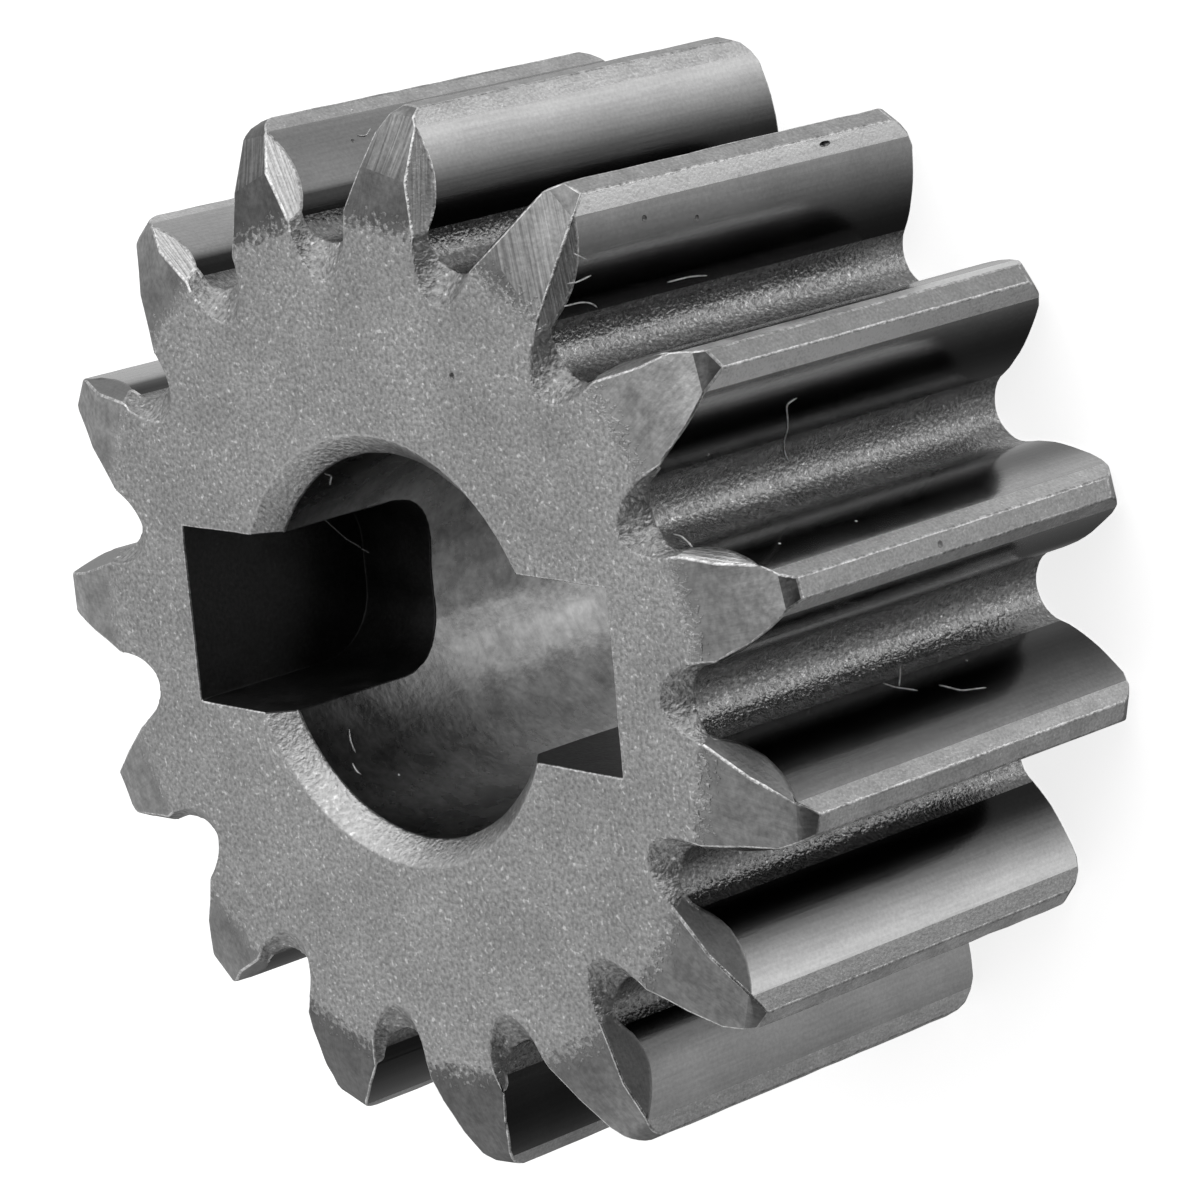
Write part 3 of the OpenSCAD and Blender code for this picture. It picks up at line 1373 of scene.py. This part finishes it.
@dataclass(frozen=True)
class LintFinish:
    """The pale, matt look of lint.

    Args:
        name: Its name.
        tone: Its mean grey level.
        roughness: How matt it is.
        fibre: Length over which the tone changes, in millimetres.
        swing: How far the tone changes, as a share of it.
    """

    name: str = "lint"
    tone: float = 0.92
    roughness: float = 0.85
    fibre: float = 0.25
    swing: float = 0.4

    def material(self) -> bpy.types.Material:
        """Makes the lint's material.

        Returns:
            A node material that reads Object coordinates.
        """
        made = bpy.data.materials.new(self.name)
        made.use_nodes = True
        nodes, links = made.node_tree.nodes, made.node_tree.links
        shader = nodes["Principled BSDF"]
        shader.inputs["Roughness"].default_value = self.roughness
        mottle = nodes.new("ShaderNodeTexNoise")
        mottle.inputs["Scale"].default_value = 1.0 / (self.fibre * MM)
        links.new(nodes.new("ShaderNodeTexCoord").outputs["Object"], mottle.inputs["Vector"])
        tone = nodes.new("ShaderNodeMapRange")
        tone.inputs["From Min"].default_value = NOISE_SPAN[0]
        tone.inputs["From Max"].default_value = NOISE_SPAN[1]
        tone.inputs["To Min"].default_value = (1.0 - self.swing) * self.tone
        tone.inputs["To Max"].default_value = (1.0 + self.swing) * self.tone
        links.new(mottle.outputs["Fac"], tone.inputs["Value"])
        links.new(tone.outputs["Result"], shader.inputs["Base Color"])
        return made


@dataclass
class Lint:
    """The fine fibres and specks of dust that lie on the gear. Lengths are in millimetres.

    Args:
        fibres: Points that each fibre runs over, near the gear's surface.
        specks: Places of the specks of dust.
        thickness: Thickness of a fibre.
        speck_size: Radius of a speck.
        spacing: Distance between the rings of a fibre.
        sides: Sides of a fibre.
        ease: How often a fibre's bends are smoothed.
    """

    fibres: tuple[tuple[Vector, ...], ...]
    specks: tuple[Vector, ...]
    thickness: float = 0.05
    speck_size: float = 0.055
    spacing: float = 0.12
    sides: int = 6
    ease: int = 3

    def build(self, gear: bpy.types.Object) -> bpy.types.Object:
        """Lays the fibres and the specks on the gear.

        Args:
            gear: The finished gear, in metres.

        Returns:
            The lint as one object, in metres.
        """
        mesh = bmesh.new()
        mesh.from_mesh(gear.data)
        ground = BVHTree.FromBMesh(mesh)
        mesh.clear()
        for fibre in self.fibres:
            self._lay_fibre(mesh, ground, fibre)
        for speck in self.specks:
            foot, facing, _, _ = ground.find_nearest(speck * MM)
            place = facing.to_track_quat("Z", "Y").to_matrix().to_4x4()
            place.translation = foot
            size = self.speck_size * MM
            flat = Matrix.Diagonal((size, 0.8 * size, 0.5 * size, 1.0))
            bmesh.ops.create_icosphere(mesh, subdivisions=1, radius=1.0, matrix=place @ flat)
        for each in mesh.faces:
            each.smooth = True
        made = object_from(mesh, "lint", [LintFinish().material()])
        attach(made, "root")
        return made

    def _lay_fibre(
        self, mesh: bmesh.types.BMesh, ground: BVHTree, points: tuple[Vector, ...]
    ) -> None:
        """Adds one fibre, a fine tube whose underside touches the gear along its whole way.

        Args:
            mesh: Mesh of the lint, in metres.
            ground: The gear's surface, in metres.
            points: Points that the fibre runs over, in millimetres.
        """
        route = []
        for first, second in zip(points, points[1:]):
            steps = max(round((second - first).length / self.spacing), 1)
            route += [first.lerp(second, n / steps) for n in range(steps)]
        route.append(points[-1])
        for _ in range(self.ease):
            middle = [(a + 2 * b + c) / 4 for a, b, c in zip(route, route[1:], route[2:])]
            route = [route[0], *middle, route[-1]]
        radius = self.thickness / 2 * MM
        lift = 0.6 * radius
        laid = []
        for point in route:
            foot, facing, _, _ = ground.find_nearest(point * MM)
            laid.append(foot + lift * facing)
        ring = None
        for number, point in enumerate(laid):
            before, after = laid[max(number - 1, 0)], laid[min(number + 1, len(laid) - 1)]
            ahead = after - before
            if ahead.length < 1e-7:
                continue
            taper = 0.45 if number in (0, len(laid) - 1) else 1.0
            place = ahead.to_track_quat("Z", "Y").to_matrix().to_4x4()
            place.translation = point
            ends = ring is None or number == len(laid) - 1
            made = bmesh.ops.create_circle(
                mesh, cap_ends=ends, segments=self.sides, radius=radius * taper, matrix=place
            )
            rim = self._rim(made["verts"])
            if ring is not None:
                bmesh.ops.bridge_loops(mesh, edges=ring + rim)
            ring = rim
        bmesh.ops.recalc_face_normals(mesh, faces=mesh.faces)

    def _rim(self, verts: list[bmesh.types.BMVert]) -> list[bmesh.types.BMEdge]:
        """Edges of a new ring, in a fixed order."""
        edges = dict.fromkeys(e for v in verts for e in v.link_edges)
        return [e for e in edges if all(v in verts for v in e.verts)]


@dataclass(frozen=True)
class Glow:
    """A soft patch of light in the room.

    Args:
        towards: Direction from the gear to its middle.
        edge: Cosine of its half width, at which it fades out.
        peak: Its strength in the middle.
    """

    towards: tuple[float, float, float]
    edge: float
    peak: float


@dataclass
class Studio:
    """The camera, the light and the floor, placed in metres.

    Args:
        base: Strength of the room's light for each of its patches.
        target: Point that the camera looks at.
        place: Place of the camera.
        top_angle: Direction that is up in the picture, in degrees round the axis.
        lens: Focal length in millimetres.
        sensor: Width of the sensor in millimetres.
        middle: Middle of the gear, at which the lamp points.
        floor_half: Half the floor's width.
        floor_tone: Grey level of the floor.
    """

    GLOWS: ClassVar[tuple[Glow, ...]] = (
        Glow((0.75, 0.25, 0.6), 0.25, 0.45),
        Glow((0.08, -0.85, 0.52), 0.45, 1.05),
        Glow((-0.662, -0.337, -0.669), 0.3, 0.42),
        Glow((-0.644, -0.372, -0.669), 0.94, 0.9),
        Glow((0.64, -0.37, -0.67), 0.6, 0.6),
        Glow((0.2, 0.95, 0.1), 0.3, 0.28),
    )
    WINDOW: ClassVar[Vector] = Vector((0.08, -0.85, 0.52))
    base: float = 0.03
    target: Vector = field(default_factory=lambda: Vector((-10.02, -2.83, 16.5)) * MM)
    place: Vector = field(default_factory=lambda: Vector((-118.97, -38.49, 120.11)) * MM)
    top_angle: float = -97.07
    lens: float = 152.06
    sensor: float = 36.0
    middle: Vector = field(default_factory=lambda: Vector((0.0, 0.0, 8.0)) * MM)
    floor_half: float = 1.5
    floor_tone: float = 0.8

    def camera(self) -> None:
        """Sets the camera at the photograph's viewing angle."""
        data = bpy.data.cameras.new("camera")
        data.lens = self.lens
        data.sensor_width = self.sensor
        data.clip_start = 0.01
        data.clip_end = 10.0
        back = (self.place - self.target).normalized()
        right = polar(1.0, self.top_angle).cross(back).normalized()
        pose = Matrix((right, back.cross(right), back)).transposed().to_4x4()
        pose.translation = self.place
        made = bpy.data.objects.new("camera", data)
        made.matrix_world = pose
        bpy.context.scene.collection.objects.link(made)
        bpy.context.scene.camera = made

    def lamp(self, name: str, towards: Vector, distance: float, size: float, power: float) -> None:
        """Adds a soft square lamp that looks at the gear.

        Args:
            name: Its name.
            towards: Direction from the gear to it.
            distance: Its distance in metres.
            size: Its side in metres.
            power: Its power in watts.
        """
        data = bpy.data.lights.new(name, "AREA")
        data.shape = "SQUARE"
        data.size = size
        data.energy = power
        made = bpy.data.objects.new(name, data)
        pose = towards.to_track_quat("Z", "Y").to_matrix().to_4x4()
        pose.translation = self.middle + towards.normalized() * distance
        made.matrix_world = pose
        bpy.context.scene.collection.objects.link(made)

    def floor(self) -> None:
        """Lays the pale floor, which shows white behind the gear and keeps its shadow."""
        mesh = bmesh.new()
        bmesh.ops.create_grid(mesh, x_segments=1, y_segments=1, size=self.floor_half)
        white = bpy.data.materials.new("pale_floor")
        white.use_nodes = True
        nodes, links = white.node_tree.nodes, white.node_tree.links
        shader = nodes["Principled BSDF"]
        shader.inputs["Base Color"].default_value = (*(self.floor_tone,) * 3, 1.0)
        shader.inputs["Roughness"].default_value = 0.9
        shader.inputs["Specular IOR Level"].default_value = 0.0
        shader.inputs["Emission Color"].default_value = (1.0, 1.0, 1.0, 1.0)
        path = nodes.new("ShaderNodeLightPath")
        seen = nodes.new("ShaderNodeMath")
        seen.operation = "MAXIMUM"
        links.new(path.outputs["Is Camera Ray"], seen.inputs[0])
        links.new(path.outputs["Is Transmission Ray"], seen.inputs[1])
        glow = nodes.new("ShaderNodeMath")
        glow.operation = "MULTIPLY"
        glow.inputs[1].default_value = self.floor_tone
        links.new(seen.outputs["Value"], glow.inputs[0])
        links.new(glow.outputs["Value"], shader.inputs["Emission Strength"])
        open_way = nodes.new("ShaderNodeBsdfTransparent")
        choice = nodes.new("ShaderNodeMixShader")
        links.new(path.outputs["Is Glossy Ray"], choice.inputs["Fac"])
        links.new(shader.outputs["BSDF"], choice.inputs[1])
        links.new(open_way.outputs["BSDF"], choice.inputs[2])
        links.new(choice.outputs["Shader"], nodes["Material Output"].inputs["Surface"])
        object_from(mesh, "floor", [white])

    def world(self) -> None:
        """Gives the room its soft light, brighter towards the windows and the white table."""
        made = bpy.data.worlds.new("room")
        made.use_nodes = True
        nodes, links = made.node_tree.nodes, made.node_tree.links
        towards = nodes.new("ShaderNodeTexCoord").outputs["Generated"]
        total = None
        for glow in self.GLOWS:
            facing = nodes.new("ShaderNodeVectorMath")
            facing.operation = "DOT_PRODUCT"
            facing.inputs[1].default_value = Vector(glow.towards).normalized()
            links.new(towards, facing.inputs[0])
            lobe = nodes.new("ShaderNodeMapRange")
            lobe.interpolation_type = "SMOOTHSTEP"
            lobe.inputs["From Min"].default_value = glow.edge
            lobe.inputs["From Max"].default_value = 1.0
            lobe.inputs["To Max"].default_value = glow.peak
            links.new(facing.outputs["Value"], lobe.inputs["Value"])
            joined = nodes.new("ShaderNodeMath")
            joined.inputs[1].default_value = self.base
            links.new(lobe.outputs["Result"], joined.inputs[0])
            if total is not None:
                links.new(total, joined.inputs[1])
            total = joined.outputs["Value"]
        background = nodes["Background"]
        background.inputs["Color"].default_value = (1.0, 1.0, 1.0, 1.0)
        links.new(total, background.inputs["Strength"])
        bpy.context.scene.world = made

    def build(self) -> None:
        """Sets up the whole studio."""
        self.camera()
        self.lamp("key", self.WINDOW, distance=0.6, size=0.4, power=0.12)
        self.floor()
        self.world()
        bpy.context.scene.view_settings.view_transform = "Standard"


def tooth_dressings() -> tuple[ToothDressing, ...]:
    """The hand work on each tooth, from the tooth on +X counter-clockwise.

    Returns:
        One dressing per tooth.
    """
    light, ground = Skin.LIGHT_FACET, Skin.GROUND_TIP
    flank_painted_light = {"bright": 15.2, "full_painted_shade": 14.75}
    high_painted_shade = {"bright": 18.6, "full_painted_shade": 15.4}
    return (
        ToothDressing(
            minus=Facet(0.12, 0.12), plus=Facet(0.08, 0.02),
            shoulder=TipCut(15.6, 21, 4),
            shade=1.2, crown=1.1,
        ),
        ToothDressing(
            minus=Facet(0.16, 0.1), plus=Facet(-0.1, -0.1),
            shoulder=TipCut(15.4, 23, -4),
            shade=1.12, crown=1.2,
        ),
        ToothDressing(
            minus=Facet(0.16, 0.16), plus=Facet(-0.15, -0.12),
            shoulder=TipCut(15.5, 24, -6),
            shade=0.85, crown=1.2,
        ),
        ToothDressing(
            minus=Facet(-0.2, -0.2, 60), plus=Facet(-0.4, -0.4, 70, **high_painted_shade),
            shoulder=TipCut(15.3, 22, -8),
            shade=0.52, crown=1.3, rise=0.1,
        ),
        ToothDressing(
            minus=Facet(-0.2, -0.2, 60), plus=Facet(-0.4, -0.4, 70, **high_painted_shade),
            shoulder=TipCut(15.4, 21, -6),
            shade=0.48, crown=1.2, rise=0.1,
        ),
        ToothDressing(
            minus=Facet(-0.1, -0.1, 62), plus=Facet(0.04, 0.0, 68, bright=15.6, full_painted_shade=14.2),
            shoulder=TipCut(15.6, 20, -4),
            shade=0.66, crown=0.9,
        ),
        ToothDressing(
            minus=Facet(-0.1, -0.1), plus=Facet(0.06, 0.02, 68),
            shoulder=TipCut(15.5, 19, 3), tip=TipCut(17.2, 46, 12),
            shade=0.8, chamfer_painted_light=0.5, land=1.3,
        ),
        ToothDressing(
            minus=Facet(-0.1, -0.1), plus=Facet(0.0, 0.05, 66, bright=17.1, full_painted_shade=15.0),
            shoulder=TipCut(15.6, 17), tip=TipCut(17.2, 55, 6),
            shade=0.95, land=1.2,
        ),
        ToothDressing(
            minus=Facet(-0.3, -0.3, bright=17.4, full_painted_shade=15.0),
            plus=Facet(-0.06, -0.1, 62, light, bright=16.7, full_painted_shade=15.0, shade=1.45),
            shoulder=TipCut(15.4, 18), tip=TipCut(17.28, 56, shade=0.5),
            shade=1.05, rise=0.5, land=1.08,
        ),
        ToothDressing(
            minus=Facet(-0.42, -0.42, 58, bright=17.3, full_painted_shade=15.6),
            plus=Facet(-0.12, -0.1, 62, light),
            shoulder=TipCut(15.6, 24, -6), tip=TipCut(17.25, 58, -14, shade=0.45),
            shade=1.15, rise=0.45, chamfer_painted_light=1.35, land=0.9,
        ),
        ToothDressing(
            minus=Facet(0.06, 0.08, 56, light, shade=1.25),
            shoulder=TipCut(14.4, 20, -8, ground), tip=TipCut(17.2, 48, -10, shade=1.2),
            shade=0.72, chamfer_painted_light=1.4, land=0.96,
        ),
        ToothDressing(
            minus=Facet(0.0, 0.06, 60, light), plus=Facet(-0.16, -0.12, 62, light),
            shoulder=TipCut(15.6, 26, -4, ground), tip=TipCut(17.35, 60, shade=1.4),
            shade=0.56, land=0.86,
        ),
        ToothDressing(
            minus=Facet(-0.04, 0.06, 60, light, **flank_painted_light), plus=Facet(0.12, 0.16, 66, light),
            shoulder=TipCut(15.7, 27, 4, ground),
            shade=0.46, crown=1.1, land=0.75,
        ),
        ToothDressing(
            minus=Facet(-0.06, -0.04, 62, light, **flank_painted_light), plus=Facet(0.2, 0.24, 66, light),
            shoulder=TipCut(15.6, 24, 6),
            shade=0.92, crown=1.2,
        ),
        ToothDressing(
            minus=Facet(-0.04, 0.0, 62, **flank_painted_light), plus=Facet(0.2, 0.22),
            shoulder=TipCut(15.5, 22, 4),
            shade=1.2, crown=1.0,
        ),
    )


def gap_dressings() -> tuple[GapDressing, ...]:
    """The bevel over each gap, from the gap that follows the tooth on +X counter-clockwise.

    Returns:
        One bevel per gap.
    """
    sizes = (
        (1.15, 0.82),
        (1.1, 0.8),
        (1.1, 0.72),
        (1.05, 0.64),
        (1.1, 0.6),
        (1.05, 0.58),
        (1.0, 0.54),
        (1.02, 0.56),
        (1.1, 0.6),
        (1.14, 0.62),
        (1.12, 0.66),
        (1.16, 0.7),
        (1.2, 0.8),
        (1.15, 0.84),
        (1.15, 0.84),
    )
    return tuple(GapDressing(reach, depth) for reach, depth in sizes)


def marks() -> tuple[Dent, ...]:
    """The pinhole, the nick and the small pits and dents that the real gear has.

    Returns:
        All dents.
    """
    land = polar(1.0, -168.0)
    return (
        Dent(Vector((-4.29, -9.37, 16.5)), Z_AXIS, 0.12, 0.12),
        Dent(Vector((-17.25, -3.62, 8.9)), land, 0.14, 0.06),
        Dent(Vector((-17.22, -3.86, 9.15)), land, 0.1, 0.05),
        Dent(Vector((-9.13, -14.8, 4.07)), polar(1.0, -122.0), 0.26, 0.08),
        Dent(Vector((-9.174, -13.859, 12.38)), polar(1.0, 178.5), 0.11, 0.06),
        Dent(Vector((-9.156, -13.473, 10.09)), polar(1.0, 176.0), 0.1, 0.05),
        Dent(Vector((3.81, -15.74, 12.5)), polar(1.0, -136.0), 0.08, 0.05),
    )


def fibres() -> tuple[tuple[Vector, ...], ...]:
    """The fibres that lie on the real gear, as points near its surface.

    Returns:
        The points of each fibre.
    """
    runs = (
        (
            (-13.7, -8.3, 11.0),
            (-13.6, -8.2, 11.4),
            (-13.0, -7.4, 10.8),
            (-12.2, -6.6, 10.2),
            (-12.0, -5.9, 9.8),
        ),
        ((-12.4, -4.9, 15.5), (-12.6, -4.8, 15.25), (-13.0, -4.7, 15.4), (-13.5, -4.6, 15.8)),
        (
            (10.0, -2.2, 10.4),
            (10.0, -1.6, 9.8),
            (10.0, -1.2, 9.4),
            (10.0, -0.8, 8.8),
            (9.4, -0.6, 8.7),
        ),
        ((3.4, -5.4, 15.5), (3.7, -5.1, 14.9), (4.2, -4.7, 14.6)),
        ((-14.2, 1.2, 8.7), (-14.6, 1.3, 8.6), (-15.0, 1.5, 8.0)),
        ((-13.8, 1.0, 7.4), (-14.2, 1.2, 7.9), (-14.6, 1.3, 8.4)),
        ((-15.1, 1.5, 7.1), (-15.5, 1.8, 6.6), (-15.7, 1.9, 5.6)),
        ((-9.1, -13.3, 15.4), (-9.1, -13.0, 14.9)),
        ((-8.8, -11.7, 15.7), (-8.8, -11.7, 15.0), (-8.7, -11.6, 14.5), (-8.6, -11.4, 14.2)),
        ((-8.9, -12.4, 15.6), (-9.0, -12.4, 15.2), (-9.0, -12.5, 14.7)),
        ((-8.8, -11.6, 11.2), (-8.8, -11.6, 10.2), (-8.7, -11.5, 9.4)),
        ((3.9, -15.9, 12.2), (3.8, -15.8, 11.9), (4.0, -16.0, 11.5)),
        ((5.1, 3.8, 14.1), (4.9, 4.1, 14.3), (4.5, 4.4, 14.4)),
        ((4.3, 4.7, 14.8), (4.0, 4.9, 14.9), (3.9, 5.0, 14.8)),
    )
    return tuple(tuple(Vector(point) for point in run) for run in runs)


def specks() -> tuple[Vector, ...]:
    """The specks of dust that lie on the real gear.

    Returns:
        The place of each speck.
    """
    places = (
        (4.7, -16.6, 11.6),
        (-12.8, -7.1, 14.1),
        (-15.5, -4.6, 10.7),
        (-15.4, -4.6, 14.0),
        (-14.5, 1.3, 5.1),
        (-13.3, 0.4, 9.1),
        (3.5, 5.3, 13.5),
    )
    return tuple(Vector(place) for place in places)


def main() -> None:
    """Builds the gear and the studio."""
    logging.basicConfig(level=logging.INFO, format="%(message)s")
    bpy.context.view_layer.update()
    low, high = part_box(NODE)
    width = (high[2] - low[2]) / MM
    toothing = Toothing(width, tooth_dressings(), gap_dressings())
    skewed_strokes = {9: 10.0, 10: 48.0, 11: -4.0, 12: 4.0}
    gear = PinionGear(toothing, Hub(width), marks(), skewed_strokes).build()
    lint = Lint(fibres(), specks()).build(gear)
    for piece in (gear, lint):
        log.info("%s: %d faces", piece.name, len(piece.data.polygons))
    Studio().build()


if __name__ == "__main__":
    main()
